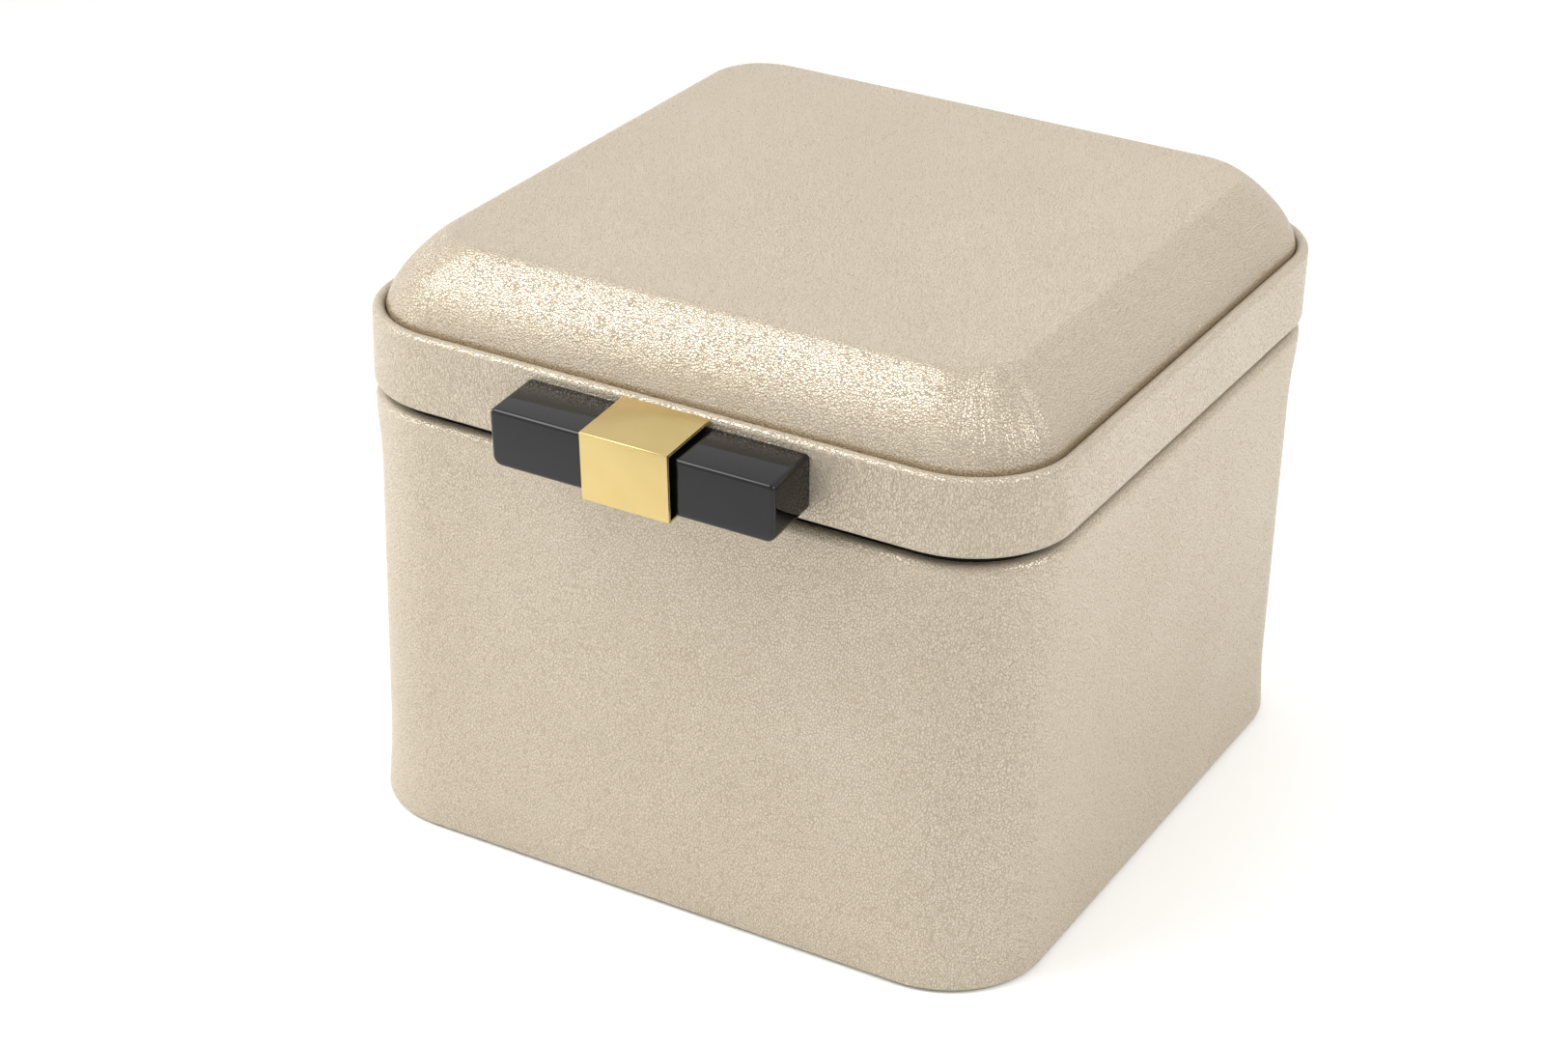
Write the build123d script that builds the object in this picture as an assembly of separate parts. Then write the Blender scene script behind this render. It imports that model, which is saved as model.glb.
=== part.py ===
from build123d import *
import math
import os

# A square jewellery box: a leather-covered base, a hinged lid with a padded leather top, a resin and brass
# pull on its front, a velvet-lined neck that the lid closes over, and a lift-out tray of ring rolls.
# Millimetres. +Z is up, -Y is the front with the pull, +Y is the hinge side, and the origin is the middle of
# the face that the box stands on. An "inset" is measured inwards from the outside of the base's leather.

# ---- the box as a whole ----
box_width = 175.0  # X, over the base's leather
box_depth = 175.0  # Y, over the base's leather
corner_radius = 24.5  # plan radius of the base's leather
base_height = 109.0  # from the table to the base's top edge
lid_gap = 2.2  # the dark line left open between base and lid

# ---- sheet goods ----
leather = 1.0
rim_leather = 0.8  # skived thinner where it wraps the lid's rim
velvet = 0.7
felt_foot = 0.6  # what the felt stands proud of the leather under the base
felt_inset = 1.8
turn_under = 12.0  # width of leather glued under the base, and under the pad
leather_edge = 0.8  # rounding of the base leather's cut top edge
leather_heel = 0.8  # rounding of the base's bottom edge

# ---- base carcass ----
wall_board = 5.0
floor_board = 4.0
post_land = 6.0  # straight length of a corner post past its curve
tongue_length = 3.0
tongue_thickness = 2.0
glue_gap = 0.05  # each side of a tongue, a screw or a lap

# ---- neck, the velvet liner that stands up inside the lid ----
neck_board = 2.0
neck_rise = 6.0  # above the base's top edge
neck_wrap = 12.0  # velvet turned down outside the neck
lid_rest = 0.3  # lid's inner frame above the neck

# ---- lower compartments ----
divider_board = 2.5
lower_headroom = 23.8  # left open between the dividers and the tray
floor_pad = 3.0
pad_clearance = 0.4
ledge_width = 6.0
ledge_height = 6.0
ledge_length = 110.0

# ---- tray ----
tray_drop = 13.0  # from the neck's top down to the tray's
tray_height = 26.0
tray_board = 2.5
tray_floor = 2.0
tray_clearance = 1.0
tray_divider_height = 20.0
ring_bed = 9.0
ring_roll_diameter = 11.8
ring_roll_count = 6
ring_roll_end_gap = 1.5
ring_roll_end_flat = 0.9  # what its rounding leaves of a roll's end, in radius
tab_width = 12.0
tab_ribbon = 0.5
tab_leg = 14.0
tab_reach = 16.0

# ---- lid ----
rim_overhang = 0.9  # the rim stands out past the base
rim_board = 1.5
rim_height = 18.8
inner_frame_width = 7.6
inner_frame_height = 4.4
lining_card = 1.5
lid_panel = 4.0
mirror_side = 120.0
mirror_glass = 2.0
mirror_corner = 6.0
mirror_bevel = 1.0

# ---- padded top ----
pad_gap = 0.1  # between the pad's leather and the rim's
pad_board = 3.0
pad_height = 23.4  # from the lid panel to the pad's crown
pad_shoulder = 19.0  # rounding of the pad's upper edge

# ---- pull ----
pull_shift = 2.0  # the pull hangs this far right of the middle
pull_rise = 1.4  # from the rim's lower edge to the pull's, where they meet
pull_lean = 4.4  # degrees that the pull points down
pull_bar_length = 71.5
pull_bar_depth = 14.6  # along its underside
pull_bar_height = 14.2
pull_bar_edge = 0.7
pull_bar_corner = 1.4
band_width = 22.0
band_depth = 16.8  # along its underside
band_height = 16.8
band_sheet = 0.8
band_fold = 0.4
packing_inset = 1.2
pull_screw_spacing = 40.0
pull_screw_reach = 8.0  # thread in the bar

# ---- hinges ----
hinge_spacing = 90.0
leaf_width = 24.0
leaf_height = 14.0
leaf_sheet = 1.0
knuckle_radius = 2.0
pin_radius = 0.9
pin_running_gap = 0.05
pin_head_radius = 1.4
pin_head = 0.6
knuckle_gap = 0.15
barrel_gap = 0.2  # barrel to the rim's leather
lid_opening = 95.0  # degrees, where the stop tab meets the base leaf
stop_tab_reach = 3.3
stop_tab_sheet = 1.0
stop_gap = 0.02
hinge_screw_spacing = 15.0
hinge_screw_length = 5.0

# ---- screws ----
shank_radius = 1.0
head_radius = 1.9
head_height = 0.9
driver_slot = 0.5

# ---- heights that follow from the sizes above ----
leather_low = felt_foot
floor_low = leather_low + leather
wall_low = floor_low + floor_board
wall_high = base_height - velvet
neck_high = base_height + neck_rise
rim_low = base_height + lid_gap
rim_high = rim_low + rim_height
frame_low = neck_high + lid_rest
lining_low = frame_low + inner_frame_height
panel_low = lining_low + lining_card
panel_high = panel_low + lid_panel
pad_high = panel_high + pad_height
tray_high = neck_high - tray_drop
tray_seat = tray_high - tray_height  # the ledges' top
tray_floor_high = tray_seat + tray_floor

# ---- insets that follow ----
wall_out = leather
wall_in = wall_out + wall_board
neck_out = wall_in
neck_board_out = neck_out + velvet
neck_board_in = neck_board_out + neck_board
neck_in = neck_board_in + velvet
tray_out = neck_in + tray_clearance
tray_in = tray_out + tray_board
rim_out = -rim_overhang
rim_board_out = rim_out + rim_leather
rim_board_in = rim_board_out + rim_board
rim_in = rim_board_in + rim_leather
frame_in = rim_board_in + inner_frame_width
pad_out = rim_in + pad_gap
pad_in = pad_out + leather

half_width = box_width / 2
half_depth = box_depth / 2
rim_front = -half_depth + rim_out
pin_y = half_depth + rim_overhang + barrel_gap + knuckle_radius
pin_z = base_height + lid_gap / 2
pull_low = rim_low + pull_rise
pull_spare = 3.0  # what each piece of the pull is made too long before it is cut to the rim
lid_screw_z = (frame_low + lining_low) / 2  # the pull's and the hinges' screws enter the inner frame here
hinge_screw_drop = lid_screw_z - pin_z


def plan(inset):
    """The box's rounded square, drawn that far inside the base's leather."""
    return RectangleRounded(box_width - 2 * inset, box_depth - 2 * inset, corner_radius - inset)


def slab(inset, low, high):
    return Pos(0, 0, low) * extrude(plan(inset), high - low)


def ring(outer, inner, low, high):
    return Pos(0, 0, low) * extrude(plan(outer) - plan(inner), high - low)


def block(x, y, z):
    """A box between two values on each axis."""
    middle = [(low + high) / 2 for low, high in (x, y, z)]
    return Pos(*middle) * Box(x[1] - x[0], y[1] - y[0], z[1] - z[0])


def edges_at(shape, height):
    """The level edges of a shape that lie at one height."""
    level = shape.edges().filter_by(Plane.XY)
    return level.filter_by_position(Axis.Z, height - 0.01, height + 0.01)


def rounded_slab(inset, low, high, radius):
    """A slab whose upper edge is rounded all round."""
    body = slab(inset, low, high)
    return fillet(edges_at(body, high), radius)


def save(shape, node):
    export_step(shape, f"parts/{node}.step")


def screw(length):
    """A slotted pan-head screw: the head's underside is at z = 0 and the shank runs down -Z."""
    head = Pos(0, 0, head_height / 2) * Cylinder(head_radius, head_height)
    head = fillet(head.edges().group_by(Axis.Z)[-1], head_height * 0.6)
    head -= Pos(0, 0, head_height) * Box(2 * head_radius, driver_slot, head_height)
    return head + Pos(0, 0, -length / 2) * Cylinder(shank_radius, length)


def pilot(length):
    """The hole that a screw of that length needs."""
    return Pos(0, 0, -length / 2) * Cylinder(shank_radius + glue_gap, length + 2 * glue_gap)


# ---- carcass: a floor board, four corner posts and four boards tongued into them ----
board_height = wall_high - wall_low
board_mid = (wall_low + wall_high) / 2
reach = corner_radius + post_land  # how far a post runs in from the outside


def side_tongue(length, spare):
    """The bar that a board's two tongues are the ends of; with spare it is the groove."""
    return Box(
        length + 2 * (tongue_length + spare), tongue_thickness + 2 * spare, board_height
    )


def side_places():
    """Each wall's name, its length between posts, and where its middle is."""
    across = half_depth - wall_out - wall_board / 2
    along = half_width - wall_out - wall_board / 2
    return [
        ("front", box_width - 2 * reach, Pos(0, -across, board_mid)),
        ("rear", box_width - 2 * reach, Pos(0, across, board_mid)),
        ("left", box_depth - 2 * reach, Pos(-along, 0, board_mid) * Rot(0, 0, 90)),
        ("right", box_depth - 2 * reach, Pos(along, 0, board_mid) * Rot(0, 0, 90)),
    ]


def hinge_frames():
    """The two hinges' names, and the middle of each one's pin."""
    side = hinge_spacing / 2
    return [("left", Pos(-side, pin_y, pin_z)), ("right", Pos(side, pin_y, pin_z))]


def hinge_screw_places(face_y, up):
    """Where one leaf's screws seat, with the head's underside on the leaf and the shank pointing forwards."""
    places = []
    for _, middle in hinge_frames():
        for side in (-1, 1):
            x = middle.position.X + side * hinge_screw_spacing / 2
            z = pin_z + up * hinge_screw_drop
            places.append(Pos(x, face_y + leaf_sheet, z) * Rot(-90, 0, 0))
    return places


base_screws = hinge_screw_places(half_depth, -1)
lid_screws = hinge_screw_places(half_depth + rim_overhang, 1)


def drill(shape, places, length):
    for place in places:
        shape -= place * pilot(length)
    return shape


def build_carcass():
    save(slab(wall_out, floor_low, wall_low), "base_floor_board")
    posts = ring(wall_out, wall_in, wall_low, wall_high)
    for name, length, place in side_places():
        board = Box(length, wall_board, board_height) + side_tongue(length, 0)
        board = place * board
        if name == "rear":
            board = drill(board, base_screws, hinge_screw_length)
        save(board, f"base_{name}_board")
        posts -= place * Box(length, wall_board, board_height)
        posts -= place * side_tongue(length, glue_gap)
    names = {(-1, -1): "front_left", (1, -1): "front_right", (-1, 1): "rear_left", (1, 1): "rear_right"}
    for post in posts.solids():
        middle = post.center()
        corner = (1 if middle.X > 0 else -1, 1 if middle.Y > 0 else -1)
        save(post, f"corner_post_{names[corner]}")


# ---- what covers the base: leather outside, felt beneath, velvet on the shoulder ----
def build_base_covers():
    cover = ring(0, wall_out, leather_low, base_height) + ring(0, turn_under, leather_low, floor_low)
    outer_low = edges_at(cover, leather_low).sort_by(SortBy.LENGTH)[-8:]
    cover = fillet(edges_by_reach(outer_low), leather_heel)
    outer_high = edges_by_reach(edges_at(cover, base_height))
    cover = fillet(outer_high, leather_edge)
    save(drill(cover, base_screws, hinge_screw_length), "base_leather_cover")
    felt = slab(felt_inset, 0, leather_low) + slab(turn_under, leather_low, floor_low)
    save(felt, "base_felt_pad")
    save(ring(wall_out, wall_in, wall_high, base_height), "shoulder_velvet")


def edges_by_reach(edges):
    """Of a ring's edges at one height, the outer loop's."""
    tight = 0.01
    outer = []
    for edge in edges:
        box = edge.bounding_box()
        far_x = max(abs(box.min.X), abs(box.max.X))
        far_y = max(abs(box.min.Y), abs(box.max.Y))
        if far_x > half_width - tight or far_y > half_depth - tight:
            outer.append(edge)
    return ShapeList(outer)


# ---- neck ----
def build_neck():
    save(ring(neck_board_out, neck_board_in, wall_low, neck_high - velvet), "neck_board")
    skin = ring(neck_board_in, neck_in, wall_low, neck_high)
    skin += ring(neck_out, neck_board_in, neck_high - velvet, neck_high)
    skin += ring(neck_out, neck_board_out, neck_high - neck_wrap, neck_high)
    save(skin, "neck_velvet")
    inner = half_width - neck_in
    for name, side in (("left", -1), ("right", 1)):
        x = sorted((side * inner, side * (inner - ledge_width)))
        y = (-ledge_length / 2, ledge_length / 2)
        save(block(x, y, (tray_seat - ledge_height, tray_seat)), f"tray_ledge_{name}")


# ---- lower compartments: two boards lapped into a cross, and a pad in each quarter ----
def build_lower_compartments():
    across_x = half_width - neck_in
    across_y = half_depth - neck_in
    thick = divider_board / 2
    slot = thick + glue_gap
    low = wall_low
    high = tray_seat - lower_headroom
    lap = (low + high) / 2
    lengthwise = block((-across_x, across_x), (-thick, thick), (low, high))
    crosswise = block((-thick, thick), (-across_y, across_y), (low, high))
    save(lengthwise - block((-slot, slot), (-slot, slot), (lap, high)), "divider_lengthwise")
    save(crosswise - block((-slot, slot), (-slot, slot), (low, lap)), "divider_crosswise")
    pads = slab(neck_in + pad_clearance, wall_low, wall_low + floor_pad)
    gap = thick + pad_clearance
    pads -= block((-across_x, across_x), (-gap, gap), (low, high))
    pads -= block((-gap, gap), (-across_y, across_y), (low, high))
    for pad in pads.solids():
        middle = pad.center()
        row = "front" if middle.Y < 0 else "rear"
        column = "left" if middle.X < 0 else "right"
        save(pad, f"floor_pad_{row}_{column}")


# ---- tray: ring rolls in front, three compartments behind, a ribbon tab at each side ----
def build_tray():
    inner_x = half_width - tray_in
    inner_y = half_depth - tray_in
    thick = divider_board / 2
    save(slab(tray_out, tray_seat, tray_floor_high), "tray_floor")
    save(ring(tray_out, tray_in, tray_floor_high, tray_high), "tray_frame")
    divider_z = (tray_floor_high, tray_floor_high + tray_divider_height)
    save(block((-inner_x, inner_x), (-thick, thick), divider_z), "tray_middle_wall")
    third = (2 * inner_x - 2 * divider_board) / 3
    for name, side in (("left", -1), ("right", 1)):
        middle = side * (third + divider_board) / 2
        x = (middle - thick, middle + thick)
        save(block(x, (thick, inner_y), divider_z), f"tray_divider_{name}")

    bed_high = tray_floor_high + ring_bed
    front_half = block((-half_width, half_width), (-half_depth, -thick - glue_gap), (tray_floor_high, bed_high))
    save(slab(tray_in + glue_gap, tray_floor_high, bed_high) & front_half, "ring_bed")
    pitch = (inner_y - thick) / ring_roll_count
    radius = ring_roll_diameter / 2
    rounding = radius - ring_roll_end_flat
    curve = corner_radius - tray_in
    for number in range(ring_roll_count):
        half_length = inner_x - ring_roll_end_gap
        if pitch * number < curve:
            half_length = min(half_length, inner_x - curve + rounding)
        roll = Cylinder(radius, 2 * half_length)
        roll = fillet(roll.edges().filter_by(GeomType.CIRCLE), rounding)
        y = -inner_y + pitch * (number + 0.5)
        save(Pos(0, y, bed_high + radius) * Rot(0, 90, 0) * roll, f"ring_roll_{number + 1}")

    outer_x = half_width - tray_out
    y = (-tab_width / 2, tab_width / 2)
    for name, side in (("left", -1), ("right", 1)):
        leg_x = sorted((side * outer_x, side * (outer_x + tab_ribbon)))
        flap_x = sorted((side * (outer_x + tab_ribbon), side * (outer_x - tab_reach)))
        tab = block(leg_x, y, (tray_high - tab_leg, tray_high))
        tab += block(flap_x, y, (tray_high, tray_high + 2 * tab_ribbon))
        save(tab, f"tray_tab_{name}")


# ---- lid: a bent rim wrapped in leather, a panel across it, and a mirror beneath ----
def pull_screw_places():
    """Where the pull's screws seat, on the inner frame, with their shanks pointing forwards."""
    y = -half_depth + frame_in
    places = []
    for side in (-1, 1):
        x = pull_shift + side * pull_screw_spacing / 2
        places.append(Pos(x, y, lid_screw_z) * Rot(-90, 0, 0))
    return places


pull_screws = pull_screw_places()
pull_screw_length = frame_in + rim_overhang + pull_screw_reach


def drill_lid(shape):
    return drill(drill(shape, pull_screws, pull_screw_length), lid_screws, hinge_screw_length)


def build_lid():
    board_low = rim_low + rim_leather
    board_high = rim_high - rim_leather
    board = ring(rim_board_out, rim_board_in, board_low, board_high)
    save(drill_lid(board), "lid_rim_board")

    wrap = ring(rim_out, rim_in, rim_low, rim_high)
    wrap -= ring(rim_board_out, rim_board_in, board_low, board_high)
    wrap -= ring(rim_board_in, rim_in, frame_low, panel_high)
    outer = rim_in - rim_out
    wrap = fillet(edges_at(wrap, rim_high), outer / 2 - 0.05)
    save(drill_lid(wrap), "lid_rim_leather")

    save(drill_lid(ring(rim_board_in, frame_in, frame_low, lining_low)), "lid_inner_frame")
    save(slab(rim_board_in, lining_low, panel_low), "lid_lining_panel")
    save(slab(rim_board_in, panel_low, panel_high), "lid_panel")

    glass = RectangleRounded(mirror_side, mirror_side, mirror_corner)
    mirror = Pos(0, 0, lining_low - mirror_glass) * extrude(glass, mirror_glass)
    mirror = chamfer(edges_at(mirror, lining_low - mirror_glass), mirror_bevel)
    save(mirror, "mirror_glass")


# ---- padded top: a board and its foam, with leather drawn over both and glued beneath ----
def build_pad():
    board_low = panel_high + leather
    save(slab(pad_in, board_low, board_low + pad_board), "pad_board")
    shoulder = min(pad_shoulder, corner_radius - pad_out)
    foam = rounded_slab(pad_in, board_low + pad_board, pad_high - leather, shoulder - leather)
    save(foam, "pad_foam")
    cover = rounded_slab(pad_out, panel_high, pad_high, shoulder)
    cover -= rounded_slab(pad_in, board_low, pad_high - leather, shoulder - leather)
    cover -= slab(pad_out + turn_under, panel_high, board_low)
    save(cover, "pad_leather")


# ---- pull: a resin bar in a brass band, packed with foam and screwed from inside the lid ----
def hang(shape, back):
    """Leans a piece of the pull about its lower back edge, and cuts it off flat where it meets the rim."""
    low_edge = Pos(0, rim_front, pull_low)
    leaned = low_edge * Rot(pull_lean, 0, 0) * low_edge.inverse() * shape
    return leaned - block((-half_width, half_width), (back, 0), (0, pad_high))


def build_pull():
    x = (pull_shift - band_width / 2, pull_shift + band_width / 2)
    y = (rim_front - band_depth, rim_front + pull_spare)
    z = (pull_low, pull_low + band_height)
    shell = block(x, y, z)
    shell = fillet(shell.edges().filter_by(Axis.X), band_fold)
    inner_y = (y[0] + band_sheet, y[1])
    inner_z = (z[0] + band_sheet, z[1] - band_sheet)
    inner_back = rim_front - band_sheet
    save(hang(shell, rim_front) - hang(block(x, inner_y, inner_z), inner_back), "pull_band")

    bar_front = rim_front - pull_bar_depth
    bar_z = (inner_z[0], inner_z[0] + pull_bar_height)
    ends = (pull_shift - pull_bar_length / 2, pull_shift + pull_bar_length / 2)
    bar = block(ends, (bar_front, y[1]), bar_z)
    bar = fillet(bar.edges().filter_by(Axis.Z), pull_bar_corner)
    bar = fillet(bar.edges().filter_by(Plane.XY), pull_bar_edge)
    bar = hang(bar, rim_front) - block(x, (inner_back, rim_front), (0, pad_high))
    save(drill(bar, pull_screws, pull_screw_length), "pull_bar")

    packing_x = (x[0] + packing_inset, x[1] - packing_inset)
    packing = block(packing_x, inner_y, inner_z) - block(x, (bar_front, y[1]), (inner_z[0], bar_z[1]))
    save(hang(packing, inner_back), "pull_packing")
    fixings = [place * screw(pull_screw_length) for place in pull_screws]
    save(Compound(fixings), "pull_screws")


# ---- hinges: a leaf on the base with two knuckles, a leaf on the lid with one and a stop tab, and a pin ----
def along_x(radius, length, middle=0.0):
    return Pos(middle, 0, 0) * Rot(0, 90, 0) * Cylinder(radius, length)


def build_hinges():
    third = leaf_width / 3
    knuckle = third - knuckle_gap
    bore = along_x(pin_radius + pin_running_gap, 2 * leaf_width)
    base_face = half_depth - pin_y  # the leaves' glued faces, seen from the pin
    lid_face = half_depth + rim_overhang - pin_y
    half_leaf = leaf_width / 2
    sweep = knuckle_radius + knuckle_gap

    base_leaf = block((-half_leaf, half_leaf), (base_face, base_face + leaf_sheet), (-leaf_height, 0))
    web = block((-half_leaf, half_leaf), (base_face, 0), (-leaf_sheet, 0))
    base_leaf += web - block((-half_leaf, half_leaf), (base_face, base_face + leaf_sheet), (-leaf_sheet, 0))
    base_leaf -= along_x(sweep, third + knuckle_gap)
    for side in (-1, 1):
        base_leaf += along_x(knuckle_radius, knuckle, side * third)
    base_leaf -= bore

    lid_leaf = block((-half_leaf, half_leaf), (lid_face, lid_face + leaf_sheet), (0, leaf_height))
    for side in (-1, 1):
        lid_leaf -= along_x(sweep, third + knuckle_gap, side * third)
    leaf_back = -(base_face + leaf_sheet) - stop_gap
    opened = math.radians(lid_opening)
    stop_tab_drop = (leaf_back + stop_tab_reach * math.cos(opened)) / math.sin(opened)
    tab_y = (0, stop_tab_reach)
    tab_z = (-stop_tab_drop, -stop_tab_drop + stop_tab_sheet)
    lid_leaf += along_x(knuckle_radius, knuckle)
    lid_leaf += block((-knuckle / 2, knuckle / 2), tab_y, tab_z)
    lid_leaf -= bore

    pin_length = leaf_width + 2 * pin_head
    pin = along_x(pin_radius, pin_length)
    for side in (-1, 1):
        head_middle = side * (half_leaf + pin_running_gap + pin_head / 2)
        pin += along_x(pin_head_radius, pin_head, head_middle)

    for name, middle in hinge_frames():
        save(drill(middle * base_leaf, base_screws, hinge_screw_length), f"hinge_base_leaf_{name}")
        save(drill(middle * lid_leaf, lid_screws, hinge_screw_length), f"hinge_lid_leaf_{name}")
        save(middle * pin, f"hinge_pin_{name}")
    save(Compound([place * screw(hinge_screw_length) for place in base_screws]), "hinge_base_screws")
    save(Compound([place * screw(hinge_screw_length) for place in lid_screws]), "hinge_lid_screws")


os.makedirs("parts", exist_ok=True)
build_carcass()
build_base_covers()
build_neck()
build_lower_compartments()
build_tray()
build_lid()
build_pad()
build_pull()
build_hinges()
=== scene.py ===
import math

import bmesh
import bpy
from mathutils import Matrix, Vector


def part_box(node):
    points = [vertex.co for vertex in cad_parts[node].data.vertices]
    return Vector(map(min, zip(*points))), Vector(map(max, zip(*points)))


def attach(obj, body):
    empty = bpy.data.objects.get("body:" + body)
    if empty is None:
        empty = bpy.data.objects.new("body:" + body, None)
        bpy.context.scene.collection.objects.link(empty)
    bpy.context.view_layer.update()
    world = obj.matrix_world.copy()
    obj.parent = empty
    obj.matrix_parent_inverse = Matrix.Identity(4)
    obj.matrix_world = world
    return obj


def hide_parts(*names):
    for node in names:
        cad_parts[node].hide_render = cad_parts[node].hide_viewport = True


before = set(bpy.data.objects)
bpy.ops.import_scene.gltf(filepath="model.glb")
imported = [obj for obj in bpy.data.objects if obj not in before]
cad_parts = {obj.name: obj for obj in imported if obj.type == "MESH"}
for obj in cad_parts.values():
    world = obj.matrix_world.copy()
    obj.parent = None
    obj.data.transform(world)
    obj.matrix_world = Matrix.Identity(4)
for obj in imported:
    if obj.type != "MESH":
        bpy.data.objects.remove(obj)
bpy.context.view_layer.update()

MM = 0.001


# ---- camera ----
# The box stands corner on to the viewer, who looks down at it from a little over the height of the lid.
# A long lens keeps its sides nearly parallel, and the whole box fills the picture.
AZIMUTH = 28.8526  # degrees round from straight in front, towards the right-hand side
ELEVATION = 27.5014  # degrees above the table
ROLL = 1.5419  # degrees that the camera leans
LENS = 77.8165  # millimetres, on a 36 mm wide sensor
CAMERA_PLACE = Vector((344.3, -655.6, 447.0)) * MM


def camera_axes():
    """The camera's right, up and back directions."""
    azimuth = math.radians(AZIMUTH)
    elevation = math.radians(ELEVATION)
    roll = math.radians(ROLL)
    level = math.cos(elevation)
    back = Vector((math.sin(azimuth) * level, -math.cos(azimuth) * level, math.sin(elevation)))
    right = Vector((math.cos(azimuth), math.sin(azimuth), 0))
    up = back.cross(right)
    leaned_right = right * math.cos(roll) + up * math.sin(roll)
    leaned_up = up * math.cos(roll) - right * math.sin(roll)
    return leaned_right, leaned_up, back


lens = bpy.data.cameras.new("studio_camera")
lens.lens = LENS
lens.sensor_width = 36
lens.clip_start = 0.05
lens.clip_end = 50
camera = bpy.data.objects.new("studio_camera", lens)
bpy.context.scene.collection.objects.link(camera)
turn = Matrix(camera_axes()).transposed().to_4x4()
camera.matrix_world = Matrix.Translation(CAMERA_PLACE) @ turn
bpy.context.scene.camera = camera


# ---- floor and light ----
# A white paper sweep under an even, bright room. A tall soft panel in front and to the left puts the long
# highlight on the lid's front slope. A weak one fills in low from the left, and a small one over the
# right-hand side lights that side and the lid's front right corner.
def linear(channel):
    """One sRGB channel, from 0 to 1, as linear light."""
    if channel <= 0.04045:
        return channel / 12.92
    return ((channel + 0.055) / 1.055) ** 2.4


def colour(code):
    """An sRGB hex colour as linear light with full alpha."""
    channels = [int(code[i : i + 2], 16) / 255 for i in (0, 2, 4)]
    return (*[linear(channel) for channel in channels], 1.0)


def add(tree, kind, inputs=None, **settings):
    """Adds one node, with its settings, and links or sets its inputs by name or number."""
    node = tree.nodes.new(kind)
    for name, value in settings.items():
        setattr(node, name, value)
    for name, value in (inputs or {}).items():
        socket = node.inputs[name]
        if isinstance(value, bpy.types.NodeSocket):
            tree.links.new(value, socket)
        else:
            socket.default_value = value
    return node


def new_material(name):
    """A material with one Principled shader: the material, its node tree and the shader."""
    material = bpy.data.materials.new(name)
    material.use_nodes = True
    return material, material.node_tree, material.node_tree.nodes["Principled BSDF"]


def object_coordinates(tree):
    return add(tree, "ShaderNodeTexCoord").outputs["Object"]


def blend_tones(tree, shader, factor, first, second):
    """Colours the shader with a blend of two tones."""
    shade = add(tree, "ShaderNodeMix", {"Factor": factor}, data_type="RGBA")
    shade.inputs["A"].default_value = colour(first)
    shade.inputs["B"].default_value = colour(second)
    tree.links.new(shade.outputs["Result"], shader.inputs["Base Color"])


def paper_sweep():
    """Matt white background paper, with a trace of tooth."""
    material, tree, shader = new_material("white_background_paper")
    place = object_coordinates(tree)
    tooth = add(tree, "ShaderNodeTexNoise", {"Vector": place, "Scale": 900.0, "Detail": 3.0})
    blend_tones(tree, shader, tooth.outputs[0], "FBFBFB", "FEFEFE")
    shader.inputs["Roughness"].default_value = 0.9
    return material


FLOOR_HALF = 6.0

floor_mesh = bmesh.new()
bmesh.ops.create_grid(floor_mesh, x_segments=8, y_segments=8, size=FLOOR_HALF)
floor_data = bpy.data.meshes.new("floor")
floor_mesh.to_mesh(floor_data)
floor_mesh.free()
floor_data.materials.append(paper_sweep())
floor = bpy.data.objects.new("floor", floor_data)
bpy.context.scene.collection.objects.link(floor)

WORLD_LIGHT = 1.05
CEILING_GAP = Vector((0.30, -0.42, 0.86)).normalized()  # where the room is dimmer, over the front right
GAP_EDGE = 0.72
GAP_SHARE = 0.45

world = bpy.data.worlds.new("white_room")
world.use_nodes = True
room = world.node_tree
towards = add(room, "ShaderNodeTexCoord").outputs["Generated"]
facing = add(room, "ShaderNodeVectorMath", {0: towards, 1: CEILING_GAP}, operation="DOT_PRODUCT")
strength = add(
    room,
    "ShaderNodeMapRange",
    {
        "Value": facing.outputs["Value"],
        "From Min": GAP_EDGE,
        "From Max": 1.0,
        "To Min": WORLD_LIGHT,
        "To Max": WORLD_LIGHT * GAP_SHARE,
    },
    interpolation_type="SMOOTHSTEP",
)
backdrop = room.nodes["Background"]
backdrop.inputs["Color"].default_value = (1.0, 0.995, 0.985, 1.0)
room.links.new(strength.outputs[0], backdrop.inputs["Strength"])
bpy.context.scene.world = world
bpy.context.scene.view_settings.view_transform = "Standard"

LID_MIDDLE = Vector((0, 0, 130)) * MM


def soft_panel(name, towards, distance, width, height, power, spread):
    """A soft light hung that way from the lid and facing it; a grid narrows its spread, in degrees."""
    light = bpy.data.lights.new(name, "AREA")
    light.shape = "RECTANGLE"
    light.size = width
    light.size_y = height
    light.energy = power
    light.spread = math.radians(spread)
    lamp = bpy.data.objects.new(name, light)
    direction = Vector(towards).normalized()
    turned = direction.to_track_quat("Z", "Y").to_matrix().to_4x4()
    lamp.matrix_world = Matrix.Translation(LID_MIDDLE + direction * distance) @ turned
    bpy.context.scene.collection.objects.link(lamp)


soft_panel("key_panel", (-0.47, -0.42, 0.74), distance=0.85, width=0.5, height=0.85, power=1.38, spread=75)
soft_panel("left_panel", (-0.93, -0.36, 0.10), distance=0.5, width=0.3, height=0.4, power=0.22, spread=90)
soft_panel("right_panel", (0.80, 0.05, 0.58), distance=0.9, width=0.34, height=0.5, power=1.15, spread=100)


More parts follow.
